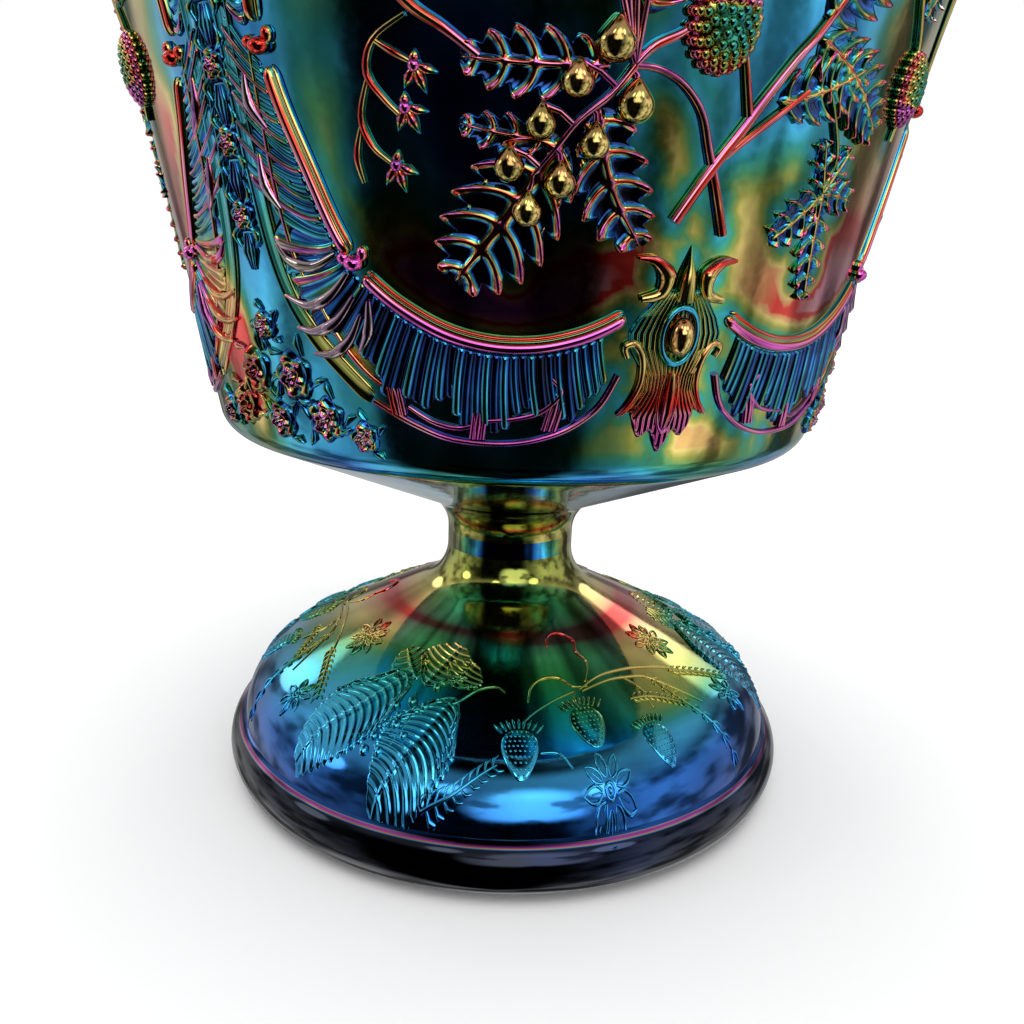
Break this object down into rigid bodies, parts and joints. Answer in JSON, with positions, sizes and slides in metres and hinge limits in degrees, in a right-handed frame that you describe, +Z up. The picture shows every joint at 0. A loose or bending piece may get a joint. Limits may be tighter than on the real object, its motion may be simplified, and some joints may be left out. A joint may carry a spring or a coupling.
{
  "type": "footed glass bowl",
  "caption": "Footed bowl of pressed dark iridescent glass, with berry and leaf relief in lobed frames and a domed round foot.",
  "frame": {"origin": "centre of the foot ring, in the plane the bowl stands on", "axes": "+Z up along the bowl's axis; -Y towards the front, with the first panel's axis 21.5 degrees towards +X"},
  "size_m": [0.16, 0.16, 0.1776],
  "materials": {
    "foot": "polished, iridescent lustre",
    "stem": "polished, iridescent lustre",
    "wafer": "polished, iridescent lustre",
    "bowl": "polished, iridescent lustre",
    "frame_rail": "polished, iridescent lustre",
    "lower_scroll": "polished, iridescent lustre",
    "feather_band": "polished, iridescent lustre",
    "palmette": "polished, iridescent lustre",
    "berry_spray": "polished, iridescent lustre",
    "bud_sprig": "polished, iridescent lustre",
    "vine_leaves": "polished, iridescent lustre",
    "stile_chain": "polished, iridescent lustre",
    "foot_leaf": "polished, iridescent lustre",
    "foot_fruit": "polished, iridescent lustre",
    "foot_flowers": "polished, iridescent lustre"
  },
  "bodies": {
    "root": {"foot": "foot", "stem": "stem", "wafer": "wafer", "bowl": "bowl", "frame_rail_1": "frame_rail", "frame_rail_2": "frame_rail", "frame_rail_3": "frame_rail", "lower_scroll_1": "lower_scroll", "lower_scroll_2": "lower_scroll", "lower_scroll_3": "lower_scroll", "feather_band_1": "feather_band", "feather_band_2": "feather_band", "feather_band_3": "feather_band", "palmette_1": "palmette", "palmette_2": "palmette", "palmette_3": "palmette", "berry_spray_1": "berry_spray", "berry_spray_2": "berry_spray", "berry_spray_3": "berry_spray", "bud_sprig_1": "bud_sprig", "bud_sprig_2": "bud_sprig", "bud_sprig_3": "bud_sprig", "vine_leaves_1": "vine_leaves", "vine_leaves_2": "vine_leaves", "vine_leaves_3": "vine_leaves", "stile_chain_1": "stile_chain", "stile_chain_2": "stile_chain", "stile_chain_3": "stile_chain", "foot_leaf_1": "foot_leaf", "foot_leaf_2": "foot_leaf", "foot_leaf_3": "foot_leaf", "foot_fruit_1": "foot_fruit", "foot_fruit_2": "foot_fruit", "foot_fruit_3": "foot_fruit", "foot_flowers_1": "foot_flowers", "foot_flowers_2": "foot_flowers", "foot_flowers_3": "foot_flowers"}
  },
  "joints": []
}
